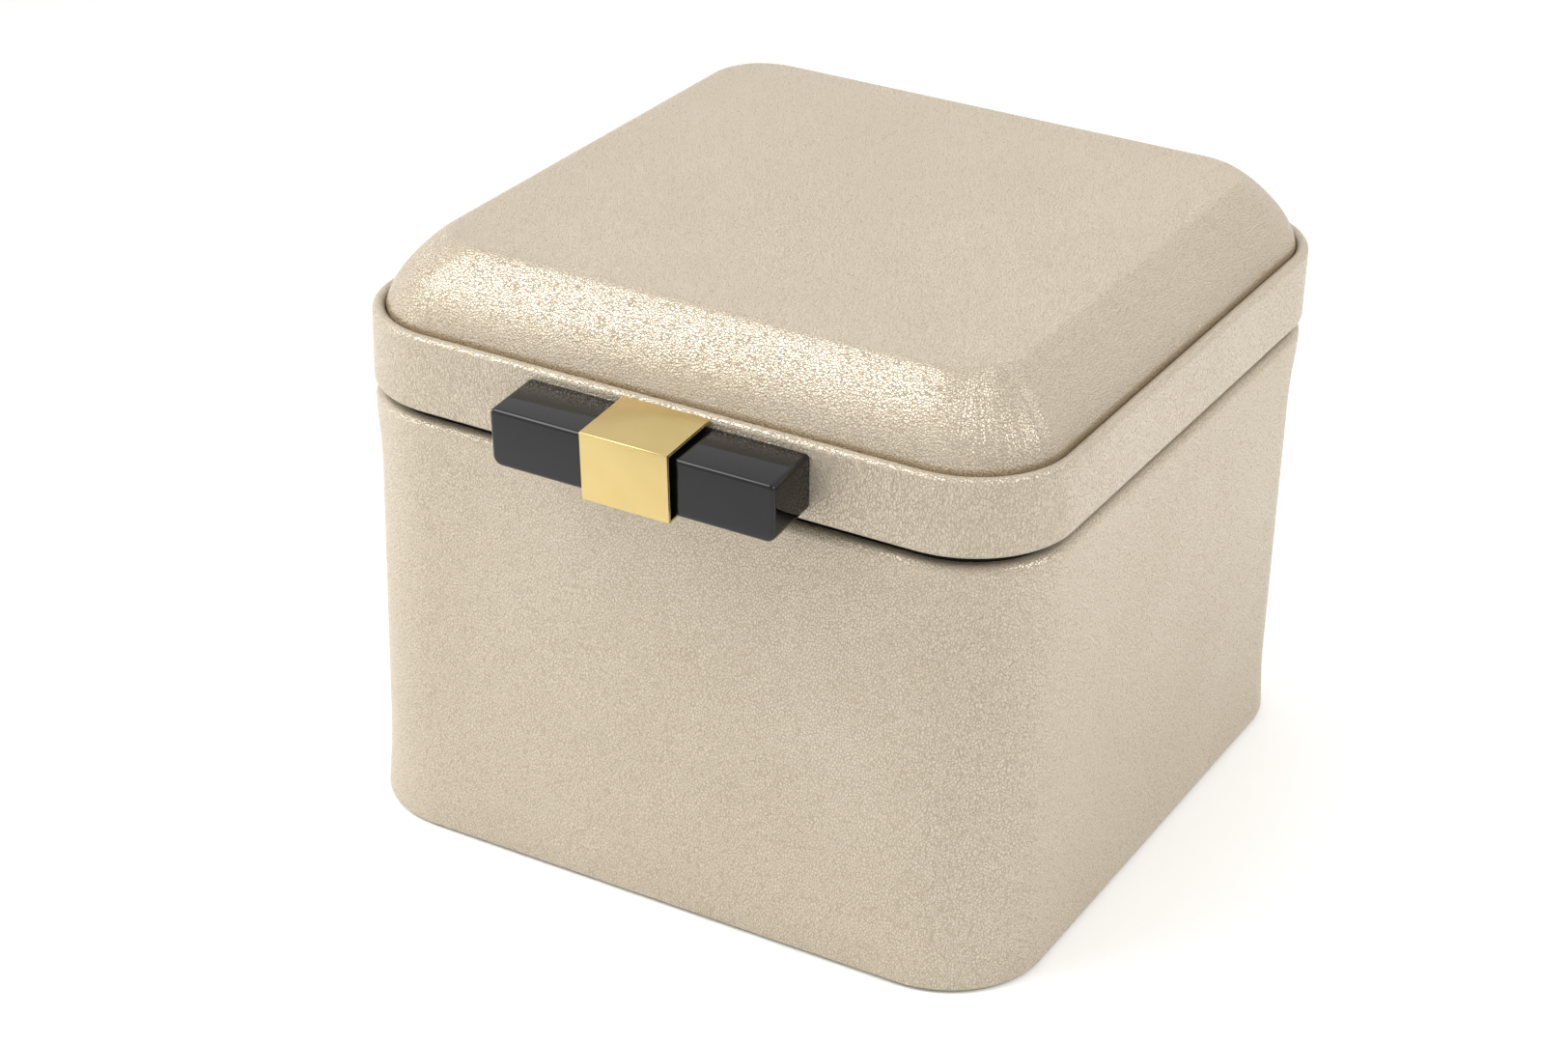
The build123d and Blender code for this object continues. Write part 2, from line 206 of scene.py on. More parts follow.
# ---- the leather ----
# Pearlised PU-coated leather, skived and glued over board: a calendered pebble grain under a champagne
# top coat. The eye gets a soft metallic glow, small round pebbles and slightly ochre crevices.
LEATHER_TONE = "C2B7A5"
LEATHER_CREVICE = "8F7A58"
PAD_CREVICE = "8E7650"
GRAIN_PITCH = 0.64 * MM  # cell to cell; cells cut by the surface look wider, near the real 0.9 mm
GRAIN_DEPTH = 0.36 * MM
GRAIN_WARP = 0.45 * MM
GROOVE_SHADE_FADE = 0.9 * MM  # over which the painted shade low on the pad, in the groove at the rim, fades in
PLEAT_PITCH = 1.3  # degrees round a corner, from fold to fold
CORNER = 24.5 * MM  # plan radius of the base's leather, which every corner of the box shares its centre with
base_low, base_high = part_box("base_leather_cover")
HALF_X = base_high.x
HALF_Y = base_high.y


def corner_turn(tree, place, core):
    """How far round its corner a point lies, in degrees, and how far out past the corner's centre."""
    folded = add(tree, "ShaderNodeVectorMath", {0: place}, operation="ABSOLUTE")
    past = add(
        tree, "ShaderNodeVectorMath", {0: folded.outputs[0], 1: (core, core, 0.0)}, operation="SUBTRACT"
    )
    parts = add(tree, "ShaderNodeSeparateXYZ", {0: past.outputs[0]})
    turned = add(
        tree, "ShaderNodeMath", {0: parts.outputs["Y"], 1: parts.outputs["X"]}, operation="ARCTAN2"
    )
    degrees = add(tree, "ShaderNodeMath", {0: turned.outputs[0]}, operation="DEGREES")
    nearer = add(tree, "ShaderNodeMath", {0: parts.outputs["X"], 1: parts.outputs["Y"]}, operation="MINIMUM")
    return degrees.outputs[0], nearer.outputs[0]


def pearl_leather(
    name, crevice, stretch=(1.0, 1.0, 1.0), glow=0.40, roughness=0.38, pleats=0.0, groove_shade_below=None
):
    """Pebbled leather; stretch below one along an axis draws the pebbles out along it."""
    material, tree, shader = new_material(name)
    place = object_coordinates(tree)
    stretched = add(tree, "ShaderNodeMapping", {"Vector": place, "Scale": stretch})
    wander = add(tree, "ShaderNodeTexNoise", {"Vector": place, "Scale": 480.0, "Detail": 2.0})
    centred = add(
        tree, "ShaderNodeVectorMath", {0: wander.outputs["Color"], 1: (0.5, 0.5, 0.5)}, operation="SUBTRACT"
    )
    shift = add(
        tree, "ShaderNodeVectorMath", {0: centred.outputs[0], "Scale": 2 * GRAIN_WARP}, operation="SCALE"
    )
    warped = add(
        tree, "ShaderNodeVectorMath", {0: stretched.outputs[0], 1: shift.outputs[0]}, operation="ADD"
    )
    cells = add(
        tree,
        "ShaderNodeTexVoronoi",
        {"Vector": warped.outputs[0], "Scale": 1 / GRAIN_PITCH},
        feature="DISTANCE_TO_EDGE",
    )
    pebble = add(
        tree,
        "ShaderNodeMapRange",
        {"Value": cells.outputs["Distance"], "From Min": 0.0, "From Max": 0.14},
        interpolation_type="SMOOTHSTEP",
    )
    fine = add(tree, "ShaderNodeTexNoise", {"Vector": place, "Scale": 2300.0, "Detail": 1.5})
    height = add(
        tree, "ShaderNodeMath", {0: fine.outputs[0], 1: 0.3, 2: pebble.outputs[0]}, operation="MULTIPLY_ADD"
    )
    if pleats:
        degrees, nearer = corner_turn(tree, place, HALF_X - CORNER)
        wobble = add(
            tree, "ShaderNodeMath", {0: wander.outputs[0], 1: 3.0, 2: degrees}, operation="MULTIPLY_ADD"
        )
        around = add(tree, "ShaderNodeMath", {0: wobble.outputs[0], 1: 1 / PLEAT_PITCH}, operation="MULTIPLY")
        folds = add(
            tree,
            "ShaderNodeTexNoise",
            {"W": around.outputs[0], "Scale": 1.0, "Detail": 1.0},
            noise_dimensions="1D",
        )
        there = add(
            tree,
            "ShaderNodeMapRange",
            {"Value": nearer, "From Min": 0.0, "From Max": 6.0 * MM, "To Max": pleats},
            interpolation_type="SMOOTHSTEP",
        )
        drawn = add(tree, "ShaderNodeMath", {0: folds.outputs[0], 1: there.outputs[0]}, operation="MULTIPLY")
        height = add(tree, "ShaderNodeMath", {0: height.outputs[0], 1: drawn.outputs[0]}, operation="ADD")
    patches = add(tree, "ShaderNodeTexNoise", {"Vector": place, "Scale": 24.0, "Detail": 3.0})
    swell = add(
        tree, "ShaderNodeBump", {"Height": patches.outputs[0], "Strength": 0.35, "Distance": 0.6 * MM}
    )
    bump = add(
        tree,
        "ShaderNodeBump",
        {
            "Height": height.outputs[0],
            "Strength": 0.65,
            "Distance": GRAIN_DEPTH,
            "Normal": swell.outputs[0],
        },
    )
    mottle = add(
        tree,
        "ShaderNodeMapRange",
        {"Value": patches.outputs[0], "From Min": 0.3, "From Max": 0.7, "To Max": 0.08},
    )
    sunk = add(tree, "ShaderNodeMapRange", {"Value": pebble.outputs[0], "To Min": 0.42, "To Max": 0.0})
    ochre = add(tree, "ShaderNodeMath", {0: sunk.outputs[0], 1: mottle.outputs[0]}, operation="ADD")
    # Painted shade: below a given height the leather is darkened towards the crevice tone, in place of the
    # shade in the groove between the pad and the rim.
    if groove_shade_below:
        high = add(tree, "ShaderNodeSeparateXYZ", {0: place}).outputs["Z"]
        groove_shade = add(
            tree,
            "ShaderNodeMapRange",
            {
                "Value": high,
                "From Min": groove_shade_below - GROOVE_SHADE_FADE,
                "From Max": groove_shade_below,
                "To Min": 0.5,
                "To Max": 0.0,
            },
        )
        ochre = add(tree, "ShaderNodeMath", {0: ochre.outputs[0], 1: groove_shade.outputs[0]}, operation="ADD")
    blend_tones(tree, shader, ochre.outputs[0], LEATHER_TONE, crevice)
    rough = add(
        tree,
        "ShaderNodeMapRange",
        {"Value": pebble.outputs[0], "To Min": roughness + 0.15, "To Max": roughness},
    )
    tree.links.new(rough.outputs[0], shader.inputs["Roughness"])
    tree.links.new(bump.outputs[0], shader.inputs["Normal"])
    shader.inputs["Metallic"].default_value = glow
    return material


wall_leather = pearl_leather("pearl_leather_walls", LEATHER_CREVICE, stretch=(1.0, 1.0, 0.72))
rim_leather = pearl_leather(
    "pearl_leather_rim", LEATHER_CREVICE, stretch=(1.0, 1.0, 0.55), roughness=0.31, pleats=1.5
)
# The pad's leather gets painted shade at its foot, in the groove against the rim's roll.
pad_leather = pearl_leather(
    "pearl_leather_pad", PAD_CREVICE, glow=0.50, roughness=0.30, pleats=1.3, groove_shade_below=131.0 * MM
)


# ---- base cover ----
# One piece of leather glued round the four walls. It is rolled over the walls' top edge onto the shoulder,
# turned under the floor board, and pulled a little proud where the roll is thickest.
TOP_ROLL = 2.0 * MM
HEEL_ROLL = 0.9 * MM
SHOULDER_LAP = 3.2 * MM
LEATHER = 1.0 * MM
TURN_UNDER = 12.0 * MM
VELVET = 0.7 * MM
CORNER_STEPS = 20
SIDE_STEPS = 22
WALL_STEPS = 20  # up the wall


def arc(across, up, radius, start, end, steps):
    """Points of an arc in a section, from one angle to another in degrees; 180 faces outwards and 90 up."""
    points = []
    for step in range(steps + 1):
        angle = math.radians(start + (end - start) * step / steps)
        points.append((across + radius * math.cos(angle), up + radius * math.sin(angle)))
    return points


def extrude_line(mesh, edges, move):
    """Extrudes a line of edges by one move, and gives the new line."""
    grown = bmesh.ops.extrude_edge_only(mesh, edges=edges)["geom"]
    moved = [item for item in grown if isinstance(item, bmesh.types.BMVert)]
    bmesh.ops.translate(mesh, verts=moved, vec=move)
    fresh = set(moved)
    return [
        item
        for item in grown
        if isinstance(item, bmesh.types.BMEdge) and item.verts[0] in fresh and item.verts[1] in fresh
    ]


def run_round(section, half_x, half_y, corner, side_steps=SIDE_STEPS, corner_steps=CORNER_STEPS):
    """Runs a section round a rounded rectangle. A section's point is (inset from the outside, height)."""
    mesh = bmesh.new()
    start = -(half_x - corner)
    verts = [mesh.verts.new((start, -half_y + inset, height)) for inset, height in section]
    count = len(verts)
    edges = [mesh.edges.new((verts[i], verts[(i + 1) % count])) for i in range(count)]
    straight = ((half_x, 1, 0), (half_y, 0, 1), (half_x, -1, 0), (half_y, 0, -1))
    for side, (half_along, step_x, step_y) in enumerate(straight):
        length = 2 * (half_along - corner) / side_steps
        for _ in range(side_steps):
            edges = extrude_line(mesh, edges, (step_x * length, step_y * length, 0))
        centre = Vector(
            (
                (half_x - corner) * (1 if side in (0, 1) else -1),
                (half_y - corner) * (1 if side in (1, 2) else -1),
                0,
            )
        )
        ends = {vert for edge in edges for vert in edge.verts}
        spun = bmesh.ops.spin(
            mesh,
            geom=[*ends, *edges],
            cent=centre,
            axis=(0, 0, 1),
            angle=math.pi / 2,
            steps=corner_steps,
            use_duplicate=False,
        )
        edges = [item for item in spun["geom_last"] if isinstance(item, bmesh.types.BMEdge)]
    bmesh.ops.remove_doubles(mesh, verts=mesh.verts, dist=1e-6)
    return mesh


def finish_piece(mesh, name, body, material, replaced=(), crease=38):
    """Turns a bmesh into a piece with its faces outwards, smooth but for the creases, riding on its body."""
    bmesh.ops.remove_doubles(mesh, verts=mesh.verts, dist=1e-6)
    bmesh.ops.recalc_face_normals(mesh, faces=mesh.faces)
    data = bpy.data.meshes.new(name)
    mesh.to_mesh(data)
    mesh.free()
    data.shade_smooth()
    data.set_sharp_from_angle(angle=math.radians(crease))
    data.materials.append(material)
    piece = bpy.data.objects.new(name, data)
    bpy.context.scene.collection.objects.link(piece)
    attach(piece, body)
    if replaced:
        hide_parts(*replaced)
    return piece


BASE_TOP = base_high.z
board_top = BASE_TOP - VELVET
wall_from = base_low.z + HEEL_ROLL
wall_to = BASE_TOP - TOP_ROLL
cover_section = [(TURN_UNDER, base_low.z + LEATHER), (TURN_UNDER, base_low.z)]
cover_section += arc(HEEL_ROLL, wall_from, HEEL_ROLL, 270, 180, 6)
for step in range(1, WALL_STEPS):
    cover_section.append((0.0, wall_from + (wall_to - wall_from) * step / WALL_STEPS))
cover_section += arc(TOP_ROLL, wall_to, TOP_ROLL, 180, 90, 8)
cover_section += [
    (SHOULDER_LAP, BASE_TOP - 0.05 * MM),
    (SHOULDER_LAP + 0.1 * MM, board_top + 0.05 * MM),
    (LEATHER + 0.05 * MM, board_top),
    (LEATHER, board_top - 0.4 * MM),
    (LEATHER, base_low.z + LEATHER + 0.05 * MM),
]
base_cover = run_round(cover_section, HALF_X, HALF_Y, CORNER)

SWELL = 0.7 * MM  # how far the leather stands off the middle of a wall
DRAWN_IN = 0.4 * MM  # how far it is drawn in against the board at the corners
FLARE = 1.0 * MM  # how far the thick roll pushes it out near the top
FLARE_SPAN = 8.0 * MM
HEEL_FLARE = 0.9 * MM  # and how far the turned-in leather does near the bottom
HEEL_SPAN = 9.0 * MM


def plan_outwards(point, corner):
    """The direction straight out of a rounded rectangle's wall at a point of its plan."""
    core_x = HALF_X - corner
    core_y = HALF_Y - corner
    past_x = point.x - max(-core_x, min(core_x, point.x))
    past_y = point.y - max(-core_y, min(core_y, point.y))
    out = Vector((past_x, past_y, 0))
    return out.normalized() if out.length > 1e-7 else Vector((0, 0, 0))


for vert in base_cover.verts:
    out = plan_outwards(vert.co, CORNER)
    along = vert.co.x if abs(out.y) > abs(out.x) else vert.co.y
    middle = max(0.0, 1 - (along / (HALF_X - CORNER)) ** 2)
    rise = (vert.co.z - base_low.z) / (BASE_TOP - base_low.z)
    standing = math.sin(math.pi * min(max(rise, 0.0), 1.0)) * middle * SWELL
    near_top = math.exp(-(((BASE_TOP - 1.5 * TOP_ROLL - vert.co.z) / FLARE_SPAN) ** 2))
    near_heel = math.exp(-(((vert.co.z - base_low.z) / HEEL_SPAN) ** 2))
    vert.co += out * (standing + FLARE * near_top + HEEL_FLARE * near_heel - DRAWN_IN)
finish_piece(base_cover, "base_leather_wrap", "base", wall_leather, ["base_leather_cover"])


# ---- lid rim cover ----
# A strip of thinner leather drawn over the bent rim board: over the top in a full roll, round the lower
# edge, and glued down inside where the panels hide its ends.
RIM_LEATHER = 0.8 * MM
RIM_FOOT = 1.2 * MM
RIM_INNER_ROLL = 0.8 * MM

rim_low, rim_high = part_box("lid_rim_leather")
overhang = rim_high.x - HALF_X
frame_low, frame_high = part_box("lid_inner_frame")
panel_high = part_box("lid_panel")[1]
rim_thick = rim_high.x - frame_high.x + RIM_LEATHER
roll = rim_thick / 2
inner = rim_thick - overhang
rim_section = [(inner, frame_low.z)]
rim_section += arc(inner - RIM_INNER_ROLL, rim_low.z + RIM_INNER_ROLL, RIM_INNER_ROLL, 0, -90, 4)
rim_section += arc(RIM_FOOT - overhang, rim_low.z + RIM_FOOT, RIM_FOOT, 270, 180, 6)
for step in range(1, 6):
    height = rim_high.z - roll - rim_low.z - RIM_FOOT
    rim_section.append((-overhang, rim_low.z + RIM_FOOT + height * step / 6))
rim_section += arc(roll - overhang, rim_high.z - roll, roll, 180, 0, 16)
board_out = RIM_LEATHER - overhang
board_in = inner - RIM_LEATHER
rim_section += [
    (inner, panel_high.z),
    (board_in, panel_high.z),
    (board_in, rim_high.z - RIM_LEATHER),
    (board_out, rim_high.z - RIM_LEATHER),
    (board_out, rim_low.z + RIM_LEATHER),
    (board_in, rim_low.z + RIM_LEATHER),
    (board_in, frame_low.z),
]
rim_cover = run_round(rim_section, HALF_X, HALF_Y, CORNER)
finish_piece(rim_cover, "lid_rim_wrap", "lid", rim_leather, ["lid_rim_leather"])


# ---- padded top ----
# Leather drawn tight over a block of foam on a board and glued beneath. The foam breaks from a nearly flat
# top over a soft crease into a long slope that swells over the rim's roll. The leather is drawn in on each
# corner's diagonal and gathers there in fine pleats.
PAD_FOOT = 0.15 * MM  # between the pad and the rim at the bottom of the groove
PAD_EDGE_HIGH = 146.9 * MM  # the flat top's edge
PAD_CREASE = 4.5 * MM  # the round that the top breaks over
PAD_CREASE_TURN = 35  # degrees
PAD_SLOPE = 30.0 * MM  # the long round from there down to the groove
PAD_SLOPE_TURN = 78
PAD_CROWN = 1.0 * MM  # how far the middle of the top stands up
PAD_CORNER_FULL = 1.2 * MM  # how much fuller the foam is low down at the corners
PAD_LIP = 0.6 * MM  # how far it swells over the rim's roll
PAD_TUCK = 1.0  # how much of that the drawn-in leather takes away on the diagonal
PAD_TUCK_SPAN = 13.0  # degrees
PAD_LIP_RISE = 1.0 * MM  # the height over which it swells out
PAD_BLOCK = 3.0 * MM  # the upright part behind the rim
CREASE_STEPS = 6
SLOPE_STEPS = 14
PAD_CORNER_STEPS = 18
PAD_SIDE_CUTS = 27
PAD_TOP_RINGS = 18

pad_low, pad_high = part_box("pad_leather")


def pad_profile():
    """Points up the slope: how far in from the foot each one lies, and its height."""
    down = []
    for step in range(CREASE_STEPS + 1):
        angle = math.radians(PAD_CREASE_TURN * step / CREASE_STEPS)
        down.append((PAD_CREASE * math.sin(angle), PAD_CREASE * (1 - math.cos(angle))))
    across, drop = down[-1]
    first = math.radians(PAD_CREASE_TURN)
    for step in range(1, SLOPE_STEPS + 1):
        turned = (PAD_SLOPE_TURN - PAD_CREASE_TURN) * step / SLOPE_STEPS
        angle = math.radians(PAD_CREASE_TURN + turned)
        out = across + PAD_SLOPE * (math.sin(angle) - math.sin(first))
        down.append((out, drop + PAD_SLOPE * (math.cos(first) - math.cos(angle))))
    reach = down[-1][0] + 0.05 * MM
    return [(reach - out, PAD_EDGE_HIGH - fall) for out, fall in reversed(down)]


def cushion_mesh():
    """The pad as a closed form: a rounded block whose top is drawn in by steps, then across to the middle."""
    mesh = bmesh.new()
    bmesh.ops.create_cube(mesh, size=1)
    half = pad_high.x - PAD_FOOT
    low = pad_low.z + 0.05 * MM
    bmesh.ops.scale(mesh, vec=(2 * half, 2 * half, PAD_BLOCK), verts=mesh.verts)
    bmesh.ops.translate(mesh, vec=(0, 0, low + PAD_BLOCK / 2), verts=mesh.verts)
    uprights = [edge for edge in mesh.edges if abs(edge.verts[0].co.z - edge.verts[1].co.z) > 1e-6]
    corner = CORNER - inner - PAD_FOOT
    bmesh.ops.bevel(
        mesh,
        geom=uprights,
        offset=corner,
        affect="EDGES",
        segments=PAD_CORNER_STEPS,
        profile=0.5,
        material=-1,
    )
    sides = [
        edge
        for edge in mesh.edges
        if edge.calc_length() > corner and abs(edge.verts[0].co.z - edge.verts[1].co.z) < 1e-6
    ]
    bmesh.ops.subdivide_edges(mesh, edges=sides, cuts=PAD_SIDE_CUTS, use_grid_fill=False)
    top = max(mesh.faces, key=lambda face: face.calc_center_median().z)

    def draw_in(face, inwards, up):
        """Insets half of the step and scales the rest, so that the corners stay soft as they rise."""
        bmesh.ops.inset_region(mesh, faces=[face], thickness=inwards / 2, depth=up, use_even_offset=True)
        reach = max(vert.co.x for vert in face.verts)
        share = (reach - inwards / 2) / reach
        bmesh.ops.scale(mesh, vec=(share, share, 1), verts=face.verts)

    steps = pad_profile()
    draw_in(top, steps[0][0], steps[0][1] - low - PAD_BLOCK)
    for (inwards, height), (next_inwards, next_height) in zip(steps, steps[1:]):
        draw_in(top, next_inwards - inwards, next_height - height)
    return mesh, top


pad_mesh, pad_face = cushion_mesh()
for ring in range(1, PAD_TOP_RINGS):
    bmesh.ops.inset_region(pad_mesh, faces=[pad_face], thickness=1e-6, depth=0)
    share = (PAD_TOP_RINGS - ring) / (PAD_TOP_RINGS - ring + 1)
    bmesh.ops.scale(pad_mesh, vec=(share, share, 1), verts=pad_face.verts)
bmesh.ops.poke(pad_mesh, faces=[pad_face])
slope_low = pad_profile()[0][1]
for vert in pad_mesh.verts:
    spread = max(abs(vert.co.x), abs(vert.co.y)) / pad_high.x
    rise = (vert.co.z - slope_low) / (PAD_EDGE_HIGH - slope_low)
    if rise > 0:
        core = HALF_X - CORNER
        past_x = max(abs(vert.co.x) - core, 0)
        past_y = max(abs(vert.co.y) - core, 0)
        cornered = min(past_x, past_y) / max(past_x, past_y, 1e-6)
        off_diagonal = math.degrees(math.atan2(past_y, max(past_x, 1e-6))) - 45
        tuck = PAD_TUCK * math.exp(-((off_diagonal / PAD_TUCK_SPAN) ** 2))
        full = PAD_CORNER_FULL * cornered * (1 - tuck) * math.sin(math.pi * min(rise * 1.3, 1.0))
        lip = PAD_LIP * min((vert.co.z - slope_low) / PAD_LIP_RISE, 1.0) * (1 - rise)
        vert.co += plan_outwards(vert.co, CORNER) * (full + lip)
        vert.co.z += PAD_CROWN * min(rise, 1.0) * (1 - spread**2)
cushion = finish_piece(pad_mesh, "lid_cushion", "lid", pad_leather, ["pad_leather", "pad_foam"])


# ---- pull ----
# A bar of black cast resin in a square band folded from brass sheet, packed with black foam and screwed
# on through the rim. The resin is polished to a mirror gloss; the brass is satin with bright folds.
def polished_resin():
    """Cast polyester resin, buffed: near black, wet gloss, with faint buffing haze."""
    material, tree, shader = new_material("polished_black_resin")
    place = object_coordinates(tree)
    haze = add(tree, "ShaderNodeTexNoise", {"Vector": place, "Scale": 180.0, "Detail": 4.0})
    rough = add(tree, "ShaderNodeMapRange", {"Value": haze.outputs[0], "To Min": 0.03, "To Max": 0.06})
    blend_tones(tree, shader, haze.outputs[0], "070708", "0C0C0D")
    wave = add(tree, "ShaderNodeTexNoise", {"Vector": place, "Scale": 45.0, "Detail": 1.0})
    bump = add(tree, "ShaderNodeBump", {"Height": wave.outputs[0], "Strength": 0.05, "Distance": 0.5 * MM})
    tree.links.new(rough.outputs[0], shader.inputs["Roughness"])
    tree.links.new(bump.outputs[0], shader.inputs["Normal"])
    shader.inputs["IOR"].default_value = 1.43
    return material


def satin_brass(name, tone, dull, roughness):
    """Lacquered brass sheet, brushed along X: a warm satin with hairline streaks and duller patches."""
    material, tree, shader = new_material(name)
    place = object_coordinates(tree)
    long_way = add(tree, "ShaderNodeMapping", {"Vector": place, "Scale": (60.0, 2600.0, 2600.0)})
    hairline = add(tree, "ShaderNodeTexNoise", {"Vector": long_way.outputs[0], "Scale": 1.0, "Detail": 3.0})
    patches = add(tree, "ShaderNodeTexNoise", {"Vector": place, "Scale": 120.0, "Detail": 3.0})
    blend_tones(tree, shader, patches.outputs[0], tone, dull)
    rough = add(
        tree,
        "ShaderNodeMapRange",
        {"Value": hairline.outputs[0], "To Min": roughness - 0.06, "To Max": roughness + 0.1},
    )
    bump = add(
        tree, "ShaderNodeBump", {"Height": hairline.outputs[0], "Strength": 0.05, "Distance": 0.03 * MM}
    )
    tree.links.new(rough.outputs[0], shader.inputs["Roughness"])
    tree.links.new(bump.outputs[0], shader.inputs["Normal"])
    shader.inputs["Metallic"].default_value = 1.0
    return material


def block(low, high):
    """A plain block between two corners, to be worked on."""
    mesh = bmesh.new()
    bmesh.ops.create_cube(mesh, size=1)
    bmesh.ops.scale(mesh, vec=high - low, verts=mesh.verts)
    bmesh.ops.translate(mesh, vec=(low + high) / 2, verts=mesh.verts)
    return mesh


def bevel(mesh, edges, radius, segments=4):
    bmesh.ops.bevel(
        mesh,
        geom=list(edges),
        offset=radius,
        offset_type="OFFSET",
        affect="EDGES",
        segments=segments,
        profile=0.5,
        material=-1,
        clamp_overlap=True,
    )


def edges_where(mesh, test):
    """The edges whose middle passes a test."""
    return [edge for edge in mesh.edges if test((edge.verts[0].co + edge.verts[1].co) / 2, edge)]


PULL_SHIFT = 2.0 * MM  # the pull hangs this far right of the middle
PULL_LEAN = math.radians(4.4)  # it points this much down
PULL_RISE = 1.4 * MM  # from the rim's lower edge to the pull's
PULL_SPARE = 1.8 * MM  # what each piece is made too long, before it is cut to the rim
BAR_LENGTH = 71.5 * MM
BAR_DEPTH = 14.6 * MM
BAR_HEIGHT = 14.2 * MM
BAR_TOP_ENDS = 1.3 * MM  # rounding of the ends' upper edges
BAR_LOW_ENDS = 2.4 * MM  # and of their lower ones
BAR_FRONT_EDGE = 0.9 * MM
BAR_BACK_EDGE = 1.8 * MM
BAND_WIDTH = 22.0 * MM
BAND_DEPTH = 16.8 * MM
BAND_HEIGHT = 16.8 * MM
BAND_SHEET = 0.8 * MM
BAND_FOLD = 0.3 * MM
BAND_RIM = 0.1 * MM  # bevel on the sheet's cut edges
TOUCH = 0.01 * MM  # what counts as the same place

rim_front = rim_low.y
pull_low = rim_low.z + PULL_RISE


def hang(mesh, back):
    """Leans a piece of the pull about its lower back edge, and cuts it off flat where it meets the rim."""
    low_edge = Vector((0, rim_front, pull_low))
    bmesh.ops.rotate(mesh, verts=mesh.verts, cent=low_edge, matrix=Matrix.Rotation(PULL_LEAN, 3, "X"))
    geometry = [*mesh.verts, *mesh.edges, *mesh.faces]
    cut = bmesh.ops.bisect_plane(
        mesh, geom=geometry, plane_co=(0, back, 0), plane_no=(0, 1, 0), clear_outer=True
    )
    return [item for item in cut["geom_cut"] if isinstance(item, bmesh.types.BMEdge)]


def runs_along(edge, axis):
    """Whether an edge is straight along X, Y or Z, given as 0, 1 or 2."""
    span = edge.verts[0].co - edge.verts[1].co
    return abs(span[axis]) > 0.999 * span.length


bar_low = Vector((PULL_SHIFT - BAR_LENGTH / 2, rim_front - BAR_DEPTH, pull_low + BAND_SHEET))
bar_high = Vector((PULL_SHIFT + BAR_LENGTH / 2, rim_front + PULL_SPARE, bar_low.z + BAR_HEIGHT))
bar = block(bar_low, bar_high)
bar_middle = (bar_low.z + bar_high.z) / 2
top_ends = edges_where(bar, lambda middle, edge: runs_along(edge, 1) and middle.z > bar_middle)
bevel(bar, top_ends, BAR_TOP_ENDS, 6)
bevel(
    bar,
    edges_where(bar, lambda middle, edge: runs_along(edge, 1) and middle.z < bar_low.z + TOUCH),
    BAR_LOW_ENDS,
    8,
)
bevel(bar, edges_where(bar, lambda middle, edge: middle.y < bar_low.y + TOUCH), BAR_FRONT_EDGE, 5)
bevel(bar, edges_where(bar, lambda middle, edge: middle.y > bar_high.y - TOUCH), BAR_BACK_EDGE, 6)
bmesh.ops.holes_fill(bar, edges=hang(bar, rim_front), sides=0)
finish_piece(bar, "pull_bar_resin", "lid", polished_resin(), ["pull_bar"], crease=60)

band_low = Vector((PULL_SHIFT - BAND_WIDTH / 2, rim_front - BAND_DEPTH, pull_low))
band_high = Vector((PULL_SHIFT + BAND_WIDTH / 2, rim_front + PULL_SPARE, pull_low + BAND_HEIGHT))
band = block(band_low, band_high)
ends = [face for face in band.faces if abs(face.normal.x) > 0.9]
bmesh.ops.inset_individual(band, faces=ends, thickness=BAND_SHEET, depth=0)
bmesh.ops.bridge_loops(band, edges=[edge for face in ends for edge in face.edges])
bmesh.ops.delete(band, geom=ends, context="FACES_ONLY")
folds = edges_where(
    band,
    lambda middle, edge: runs_along(edge, 0)
    and (middle.y < band_low.y + TOUCH or middle.y > band_high.y - TOUCH),
)
bevel(band, folds, BAND_FOLD, 4)
rims = edges_where(
    band,
    lambda middle, edge: abs(middle.x - band_low.x) < TOUCH or abs(middle.x - band_high.x) < TOUCH,
)
bevel(band, rims, BAND_RIM, 2)
bmesh.ops.holes_fill(band, edges=hang(band, rim_front), sides=0)
band_brass = satin_brass("satin_brass_band", "CEB981", "C3AC72", 0.22)
finish_piece(band, "pull_band_sleeve", "lid", band_brass, ["pull_band"], crease=30)


def black_foam():
    """Closed-cell foam strip: soot black with open pores along its cut edge."""
    material, tree, shader = new_material("black_packing_foam")
    place = object_coordinates(tree)
    pores = add(tree, "ShaderNodeTexVoronoi", {"Vector": place, "Scale": 2200.0})
    blend_tones(tree, shader, pores.outputs["Distance"], "060606", "1A1918")
    bump = add(
        tree, "ShaderNodeBump", {"Height": pores.outputs["Distance"], "Strength": 0.5, "Distance": 0.2 * MM}
    )
    tree.links.new(bump.outputs[0], shader.inputs["Normal"])
    shader.inputs["Roughness"].default_value = 0.92
    return material


def dress(material, *nodes):
    """Gives CAD nodes their finish."""
    for node in nodes:
        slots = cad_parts[node].data.materials
        slots.clear()
        slots.append(material)


dress(black_foam(), "pull_packing")


# ---- felt ----
# A square of pressed wool felt, glued under the base inside the turned leather, so that the box stands on it.
def pressed_felt():
    """Needled wool felt: matt charcoal with lighter loose fibres."""
    material, tree, shader = new_material("pressed_wool_felt")
    place = object_coordinates(tree)
    fibres = add(
        tree, "ShaderNodeTexNoise", {"Vector": place, "Scale": 1400.0, "Detail": 5.0, "Distortion": 2.0}
    )
    blend_tones(tree, shader, fibres.outputs[0], "151413", "3A3734")
    bump = add(tree, "ShaderNodeBump", {"Height": fibres.outputs[0], "Strength": 0.6, "Distance": 0.2 * MM})
    tree.links.new(bump.outputs[0], shader.inputs["Normal"])
    shader.inputs["Roughness"].default_value = 0.95
    shader.inputs["Sheen Weight"].default_value = 0.15
    return material


dress(pressed_felt(), "base_felt_pad")


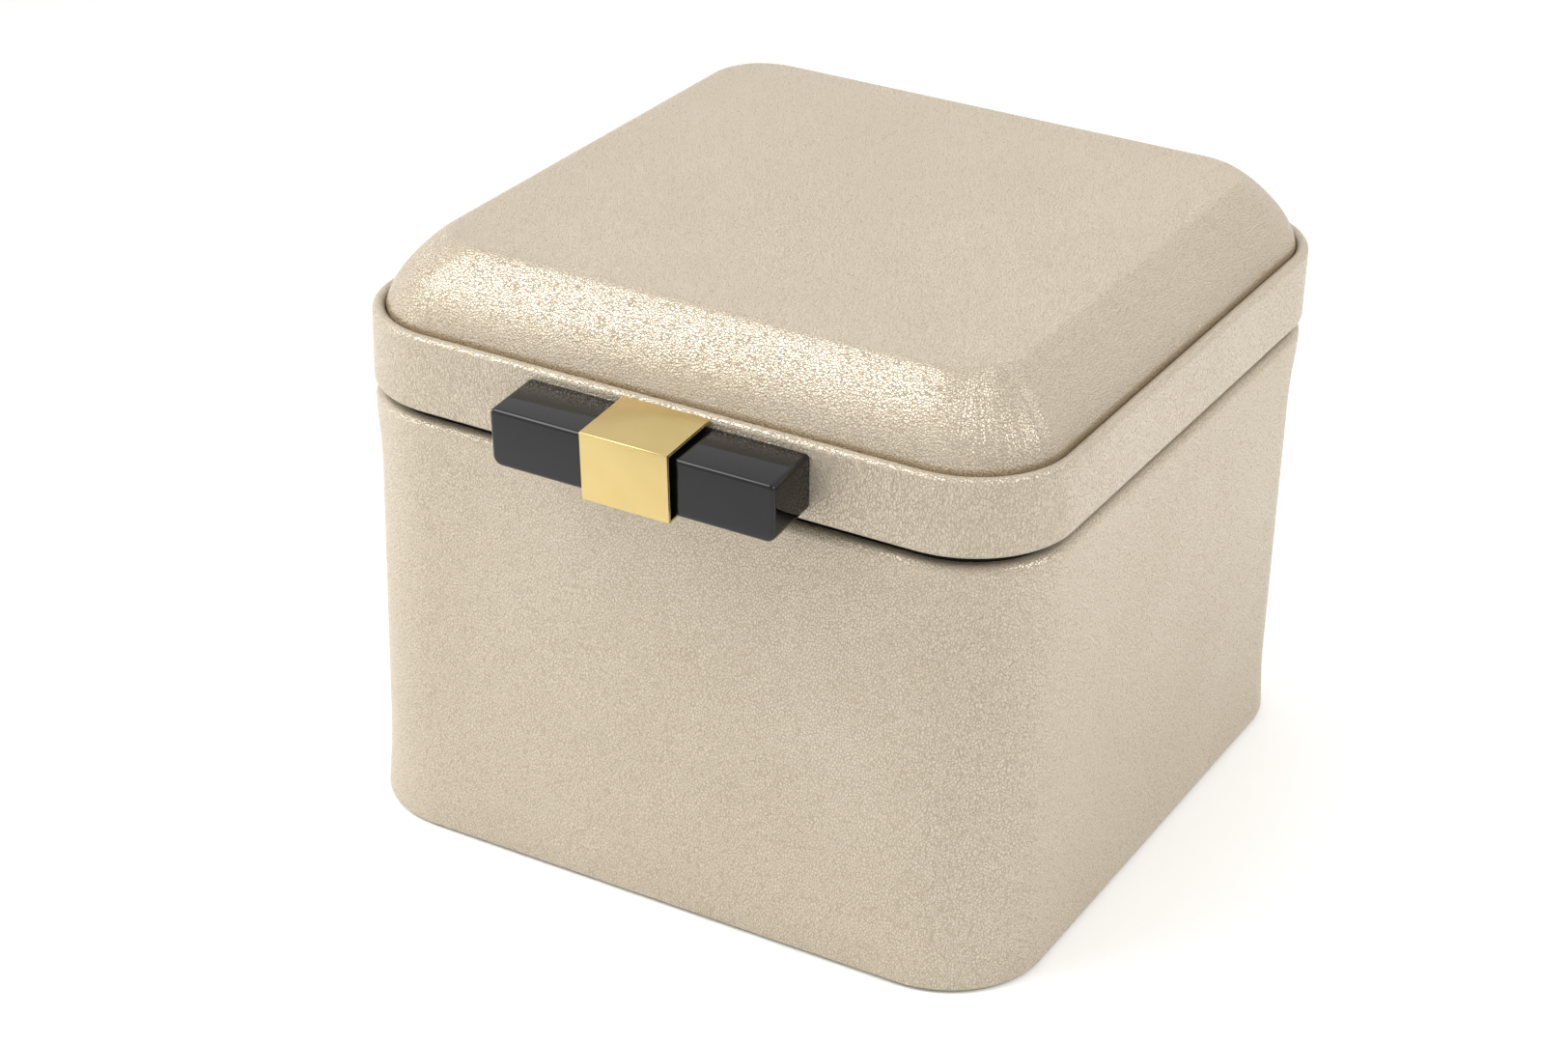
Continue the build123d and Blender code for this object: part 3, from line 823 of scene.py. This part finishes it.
# ---- shoulder and neck ----
# A flat collar of velvet glued on the walls' top edge, and a board neck wrapped in the same velvet, which
# turns over its top in a soft roll. Both are dark, so that the gap under the lid reads as a black line.
def short_pile():
    """Short-pile cotton velvet: nearly black, lightened in patches where the pile leans another way, a
    painted sheen.
    """
    material, tree, shader = new_material("short_pile_velvet")
    place = object_coordinates(tree)
    lean = add(tree, "ShaderNodeTexNoise", {"Vector": place, "Scale": 55.0, "Detail": 3.0, "Distortion": 0.6})
    pile = add(tree, "ShaderNodeTexNoise", {"Vector": place, "Scale": 2500.0, "Detail": 2.0})
    brushed = add(
        tree, "ShaderNodeMath", {0: lean.outputs[0], 1: 0.6, 2: pile.outputs[0]}, operation="MULTIPLY_ADD"
    )
    painted_pile_sheen = add(
        tree, "ShaderNodeMapRange", {"Value": brushed.outputs[0], "From Min": 0.55, "From Max": 1.05}
    )
    # Painted sheen: where the pile leans, the colour is mixed towards a lighter tone.
    blend_tones(tree, shader, painted_pile_sheen.outputs[0], "0E0C0C", "262120")
    bump = add(tree, "ShaderNodeBump", {"Height": brushed.outputs[0], "Strength": 0.5, "Distance": 0.15 * MM})
    tree.links.new(bump.outputs[0], shader.inputs["Normal"])
    shader.inputs["Roughness"].default_value = 0.9
    shader.inputs["Sheen Weight"].default_value = 0.35
    shader.inputs["Sheen Roughness"].default_value = 0.4
    return material


PILE_ROUND = 0.7 * MM  # how the pile softens a covered board's edge
dark_velvet = short_pile()

WALL_BOARD = 5.0 * MM
wall_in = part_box("shoulder_velvet")[1].x - WALL_BOARD
shoulder_section = [
    (LEATHER + 0.05 * MM, board_top),
    (SHOULDER_LAP + 0.15 * MM, board_top + 0.1 * MM),
    (SHOULDER_LAP + 0.3 * MM, BASE_TOP - 0.2 * MM),
    (SHOULDER_LAP + 0.6 * MM, BASE_TOP),
    (HALF_X - wall_in - 0.02 * MM, BASE_TOP),
    (HALF_X - wall_in - 0.02 * MM, board_top),
]
shoulder = run_round(shoulder_section, HALF_X, HALF_Y, CORNER, side_steps=6, corner_steps=12)
finish_piece(shoulder, "shoulder_velvet_collar", "base", dark_velvet, ["shoulder_velvet"])

neck_low, neck_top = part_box("neck_velvet")
neck_board_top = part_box("neck_board")[1]
NECK_WRAP = 12.0 * MM  # how far down the outside the velvet is glued
NECK_BOARD = 2.0 * MM
NECK_ROUND = 1.2 * MM
neck_out = HALF_X - neck_top.x
neck_board_out = HALF_X - neck_board_top.x
neck_board_in = neck_board_out + NECK_BOARD
neck_in = neck_board_in + VELVET
neck_section = [(neck_board_in, neck_low.z), (neck_in, neck_low.z)]
for step in range(1, 8):
    neck_section.append((neck_in, neck_low.z + (neck_top.z - NECK_ROUND - neck_low.z) * step / 8))
neck_section += arc(neck_in - NECK_ROUND, neck_top.z - NECK_ROUND, NECK_ROUND, 0, 90, 5)
neck_section += arc(neck_out + NECK_ROUND, neck_top.z - NECK_ROUND, NECK_ROUND, 90, 180, 5)
neck_section += [
    (neck_out, neck_top.z - NECK_WRAP),
    (neck_board_out, neck_top.z - NECK_WRAP),
    (neck_board_out, neck_board_top.z),
    (neck_board_in, neck_board_top.z),
]
neck = run_round(neck_section, HALF_X, HALF_Y, CORNER, side_steps=8, corner_steps=12)
finish_piece(neck, "neck_velvet_wrap", "base", dark_velvet, ["neck_velvet"])


# ---- boards ----
# Medium-density fibreboard: the floor, the walls tongued into bent corner posts, the neck, the lid's rim and
# panel and the pad's board. All of it is hidden by leather and velvet when the box is whole.
def fibreboard():
    """Sawn fibreboard: even tan, with short darker fibres and a dusty, matt face."""
    material, tree, shader = new_material("sawn_fibreboard")
    place = object_coordinates(tree)
    fibres = add(
        tree, "ShaderNodeTexNoise", {"Vector": place, "Scale": 700.0, "Detail": 6.0, "Distortion": 1.5}
    )
    clumps = add(tree, "ShaderNodeTexNoise", {"Vector": place, "Scale": 60.0, "Detail": 2.0})
    mixed = add(
        tree, "ShaderNodeMath", {0: clumps.outputs[0], 1: 0.4, 2: fibres.outputs[0]}, operation="MULTIPLY_ADD"
    )
    spread = add(tree, "ShaderNodeMapRange", {"Value": mixed.outputs[0], "From Min": 0.5, "From Max": 0.95})
    blend_tones(tree, shader, spread.outputs[0], "8A6A48", "B5946C")
    bump = add(tree, "ShaderNodeBump", {"Height": fibres.outputs[0], "Strength": 0.3, "Distance": 0.1 * MM})
    tree.links.new(bump.outputs[0], shader.inputs["Normal"])
    shader.inputs["Roughness"].default_value = 0.85
    return material


bare_board = fibreboard()
walls = [f"base_{side}_board" for side in ("floor", "front", "rear", "left", "right")]
posts = [f"corner_post_{end}_{side}" for end in ("front", "rear") for side in ("left", "right")]
dress(bare_board, "neck_board", "lid_rim_board", "lid_panel", "pad_board", *walls, *posts)


# ---- lower compartments ----
# Two boards covered in velvet and half-lapped into a cross, four thin pads on the floor between them, and a
# ledge at each side that the tray rests on.
def covered_board(name, body, node):
    """A straight board covered in velvet, its edges softened by the pile."""
    mesh = block(*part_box(node))
    bevel(mesh, list(mesh.edges), PILE_ROUND, 3)
    finish_piece(mesh, name, body, dark_velvet, [node], crease=60)


dress(dark_velvet, "divider_lengthwise", "divider_crosswise")
for side in ("left", "right"):
    node = f"tray_ledge_{side}"
    covered_board(f"ledge_{side}", "base", node)

PAD_DOME = 0.5 * MM  # how the middle of a floor pad stands up
PAD_EDGE = 1.2 * MM
PAD_CUTS = 22


def floor_pad(name, node):
    """A velvet pad that fills a quarter of the floor; its outer corner follows the box's corner."""
    low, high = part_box(node)
    mesh = block(low, high)
    level = [edge for edge in mesh.edges if not runs_along(edge, 2)]
    bmesh.ops.subdivide_edges(mesh, edges=level, cuts=PAD_CUTS, use_grid_fill=True)
    middle = (low + high) / 2
    side_x = 1 if middle.x > 0 else -1
    side_y = 1 if middle.y > 0 else -1
    far = max(abs(low.x), abs(high.x))
    corner = CORNER - (HALF_X - far)
    core = far - corner
    half = (high - low) / 2
    for vert in mesh.verts:
        past_x = side_x * vert.co.x - core
        past_y = side_y * vert.co.y - core
        if past_x > 0 and past_y > 0:
            reach = math.hypot(past_x, past_y)
            share = max(past_x, past_y) / reach
            vert.co.x = side_x * (core + past_x * share)
            vert.co.y = side_y * (core + past_y * share)
        across = 1 - abs(vert.co.x - middle.x) / half.x
        along = 1 - abs(vert.co.y - middle.y) / half.y
        if vert.co.z > middle.z:
            edge = min(across, along) * half.x
            soft = 1 - min(edge / (3 * PAD_EDGE), 1)
            dome = PAD_DOME * math.sin(math.pi / 2 * min(2 * across, 1)) * min(2 * along, 1)
            vert.co.z += dome - PAD_EDGE * soft**2
    pad = finish_piece(mesh, name, "base", dark_velvet, [node], crease=60)


for row in ("front", "rear"):
    for column in ("left", "right"):
        floor_pad(f"floor_cushion_{row}_{column}", f"floor_pad_{row}_{column}")


# ---- tray ----
# A loose tray: a floor and a frame bent round it, a middle wall and two dividers, all covered in velvet, and
# a foam bed across the front half that the ring rolls are glued to.
tray_low, tray_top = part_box("tray_frame")
TRAY_BOARD = 2.5 * MM
TRAY_EDGE = 1.1 * MM  # the velvet's round over the frame's top
tray_out = HALF_X - tray_top.x
tray_in = tray_out + TRAY_BOARD
frame_section = [(tray_out, tray_low.z), (tray_out, tray_top.z - TRAY_EDGE)]
frame_section += arc(tray_out + TRAY_EDGE, tray_top.z - TRAY_EDGE, TRAY_EDGE, 180, 90, 5)
frame_section += arc(tray_in - TRAY_EDGE, tray_top.z - TRAY_EDGE, TRAY_EDGE, 90, 0, 5)
frame_section += [(tray_in, tray_low.z)]
tray_wall = run_round(frame_section, HALF_X, HALF_Y, CORNER, side_steps=8, corner_steps=12)
finish_piece(tray_wall, "tray_wall", "tray", dark_velvet, ["tray_frame"])
dress(dark_velvet, "tray_floor")
covered_board("tray_cross_wall", "tray", "tray_middle_wall")
for side in ("left", "right"):
    node = f"tray_divider_{side}"
    covered_board(f"tray_partition_{side}", "tray", node)


# ---- ring rolls ----
# Strips of foam rolled in velvet, closed by a drawn-in end, and glued side by side so that a ring is held in
# the valley between two. Each one settles a little on its bed and isn't quite even along its length.
bed_low, bed_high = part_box("ring_bed")
bed = block(bed_low, bed_high)
bed_corner = CORNER - (HALF_X - bed_high.x)
bed_corners = edges_where(
    bed, lambda middle, edge: runs_along(edge, 2) and middle.y < (bed_low.y + bed_high.y) / 2
)
bevel(bed, bed_corners, bed_corner, 10)
bevel(bed, edges_where(bed, lambda middle, edge: middle.z > bed_high.z - TOUCH), 1.0 * MM, 3)
bed_piece = finish_piece(bed, "ring_roll_bed", "tray", dark_velvet, ["ring_bed"], crease=50)

ROLL_COUNT = 6
ROLL_SIDES = 28
ROLL_CUTS = 44
ROLL_UNEVEN = 0.14 * MM  # how far the foam swells and sinks along a roll
ROLL_SETTLE = 0.25 * MM
ROLL_END = 3.2 * MM
ROLL_DRAWN = 0.28  # share of the radius that the end is drawn in by


def ring_roll(number):
    """One roll: a long round bar with drawn-in ends, slightly wavy, and flat where it rests on its bed."""
    node = f"ring_roll_{number}"
    low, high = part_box(node)
    radius = (high.z - low.z) / 2
    length = high.x - low.x
    centre = (low + high) / 2
    mesh = bmesh.new()
    bmesh.ops.create_cone(
        mesh, cap_ends=True, segments=ROLL_SIDES, radius1=radius, radius2=radius, depth=length
    )
    bmesh.ops.rotate(mesh, verts=mesh.verts, cent=(0, 0, 0), matrix=Matrix.Rotation(math.pi / 2, 3, "Y"))
    long_edges = [edge for edge in mesh.edges if runs_along(edge, 0)]
    bmesh.ops.subdivide_edges(mesh, edges=long_edges, cuts=ROLL_CUTS)
    for face in [face for face in mesh.faces if len(face.verts) == ROLL_SIDES]:
        for inset, depth in ((0.35, 0.0), (0.30, -0.05), (0.5, -0.12)):
            reach = max((vert.co.yz.length for vert in face.verts))
            bmesh.ops.inset_region(mesh, faces=[face], thickness=reach * inset, depth=radius * depth)
    for vert in mesh.verts:
        to_end = length / 2 - abs(vert.co.x)
        if to_end < ROLL_END:
            part = 1 - max(to_end, 0) / ROLL_END
            vert.co.y *= 1 - ROLL_DRAWN * part**2
            vert.co.z *= 1 - ROLL_DRAWN * part**2
        around = math.atan2(vert.co.z, vert.co.y)
        long_wave = math.sin(vert.co.x / (9 * MM) + number * 1.7)
        wave = long_wave + 0.6 * math.sin(vert.co.x / (3.7 * MM) + around + number)
        swell = wave * ROLL_UNEVEN * 0.6
        if abs(vert.co.y) + abs(vert.co.z) > 0.5 * radius:
            vert.co.y += swell * math.cos(around)
            vert.co.z += swell * math.sin(around)
        if vert.co.z < 0:
            vert.co.z = max(vert.co.z, -radius + ROLL_SETTLE)
    bmesh.ops.translate(mesh, verts=mesh.verts, vec=centre)
    piece = finish_piece(mesh, f"ring_cushion_{number}", "tray", dark_velvet, [node], crease=60)


for number in range(1, ROLL_COUNT + 1):
    ring_roll(number)


# ---- ribbon tabs ----
# A length of satin ribbon at each side of the tray, glued down the outside of the frame and folded back on
# itself over the compartments, so that two fingers can lift the tray out.
def satin_ribbon():
    """Woven polyester satin: champagne, with fine warp lines and a soft sheen."""
    material, tree, shader = new_material("woven_satin_ribbon")
    place = object_coordinates(tree)
    across = add(tree, "ShaderNodeMapping", {"Vector": place, "Scale": (120.0, 3000.0, 120.0)})
    warp = add(tree, "ShaderNodeTexNoise", {"Vector": across.outputs[0], "Scale": 1.0, "Detail": 2.0})
    blend_tones(tree, shader, warp.outputs[0], "B7A88C", "D8CBB2")
    bump = add(tree, "ShaderNodeBump", {"Height": warp.outputs[0], "Strength": 0.4, "Distance": 0.08 * MM})
    tree.links.new(bump.outputs[0], shader.inputs["Normal"])
    shader.inputs["Roughness"].default_value = 0.38
    shader.inputs["Sheen Weight"].default_value = 0.3
    return material


TAB_RIBBON = 0.4 * MM
TAB_WIDTH = 12.0 * MM
TAB_LEG = 14.0 * MM
TAB_REACH = 16.0 * MM
TAB_STRIPS = 8  # faces across the ribbon
TAB_LIFT = 0.5 * MM  # how the free end stands off the tray
ribbon = satin_ribbon()


def ribbon_tab(name, side, node):
    """One ribbon, drawn as its middle line from the glued leg to the fold and back, then widened."""
    low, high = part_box(node)
    outer = tray_top.x + 0.25 * MM
    under = tray_top.z + 0.27 * MM
    over = under + 0.5 * MM
    points = [(outer, tray_top.z - TAB_LEG + TAB_LEG * step / 6) for step in range(6)]
    points += [(outer - 0.06 * MM, tray_top.z + 0.35 * MM), (outer - 0.4 * MM, over)]
    reach = tray_top.x - TAB_REACH
    for step in range(1, 9):
        share = step / 9
        points.append((outer + (reach - outer) * share, over + TAB_LIFT * share**2))
    points += [(reach, over + TAB_LIFT - 0.05 * MM), (reach - 0.2 * MM, over + TAB_LIFT - 0.25 * MM)]
    points += [(reach, under + TAB_LIFT)]
    for step in range(1, 9):
        share = step / 9
        points.append((reach + (outer - 1.5 * MM - reach) * share, under + TAB_LIFT * (1 - share) ** 2))
    mesh = bmesh.new()
    half = TAB_WIDTH / 2
    line = [mesh.verts.new((side * x, -half, z)) for x, z in points]
    edges = [mesh.edges.new(pair) for pair in zip(line, line[1:])]
    for _ in range(TAB_STRIPS):
        edges = extrude_line(mesh, edges, (0, TAB_WIDTH / TAB_STRIPS, 0))
    piece = finish_piece(mesh, name, "tray", ribbon, [node], crease=80)
    thickness = piece.modifiers.new("ribbon thickness", "SOLIDIFY")
    thickness.thickness = TAB_RIBBON
    thickness.offset = 0


for side, name in ((-1, "left"), (1, "right")):
    ribbon_tab(f"lift_ribbon_{name}", side, f"tray_tab_{name}")


# ---- lid lining ----
# Under the lid a velvet-covered frame runs round inside the rim and closes over the neck, and a velvet card
# carries a bevelled mirror.
LINING_WIDTH = 7.6 * MM
LINING_EDGE = 1.0 * MM
inner_frame_in = frame_high.x - LINING_WIDTH
inset_out = HALF_X - frame_high.x + 0.02 * MM
inset_in = HALF_X - inner_frame_in
lining_section = [(inset_out, frame_low.z), (inset_out, frame_high.z), (inset_in, frame_high.z)]
lining_section += [(inset_in, frame_low.z + LINING_EDGE)]
lining_section += arc(inset_in - LINING_EDGE, frame_low.z + LINING_EDGE, LINING_EDGE, 0, -90, 4)[1:]
lining_frame = run_round(lining_section, HALF_X, HALF_Y, CORNER, side_steps=8, corner_steps=12)
finish_piece(lining_frame, "lid_lining_frame", "lid", dark_velvet, ["lid_inner_frame"])
dress(dark_velvet, "lid_lining_panel")


def silvered_glass():
    """Float glass silvered behind: a clean mirror with a trace of green and faint polishing haze."""
    material, tree, shader = new_material("silvered_float_glass")
    place = object_coordinates(tree)
    haze = add(tree, "ShaderNodeTexNoise", {"Vector": place, "Scale": 25.0, "Detail": 5.0})
    rough = add(tree, "ShaderNodeMapRange", {"Value": haze.outputs[0], "To Min": 0.01, "To Max": 0.05})
    blend_tones(tree, shader, haze.outputs[0], "E9EEEC", "F1F4F3")
    tree.links.new(rough.outputs[0], shader.inputs["Roughness"])
    shader.inputs["Metallic"].default_value = 1.0
    return material


dress(silvered_glass(), "mirror_glass")


# ---- hinges and screws ----
# Two butt hinges folded from brass sheet, a leaf on the base and one on the lid, with a stop tab on the lid's
# leaf and a drawn brass pin. Plated steel pan-head screws hold them and the pull.
def plated_steel():
    """Zinc-plated steel: cool grey, mottled in fine patches, the lighter ones rougher than the darker."""
    material, tree, shader = new_material("zinc_plated_steel")
    place = object_coordinates(tree)
    spangle = add(tree, "ShaderNodeTexNoise", {"Vector": place, "Scale": 900.0, "Detail": 3.0})
    rough = add(tree, "ShaderNodeMapRange", {"Value": spangle.outputs[0], "To Min": 0.22, "To Max": 0.42})
    blend_tones(tree, shader, spangle.outputs[0], "9FA3A6", "C4C6C7")
    tree.links.new(rough.outputs[0], shader.inputs["Roughness"])
    shader.inputs["Metallic"].default_value = 1.0
    return material


hinge_brass = satin_brass("lacquered_hinge_brass", "CDAF6C", "B8975A", 0.3)
leaves = [f"hinge_{part}_leaf_{side}" for part in ("base", "lid") for side in ("left", "right")]
dress(hinge_brass, "hinge_pin_left", "hinge_pin_right", *leaves)
dress(plated_steel(), "pull_screws", "hinge_base_screws", "hinge_lid_screws")
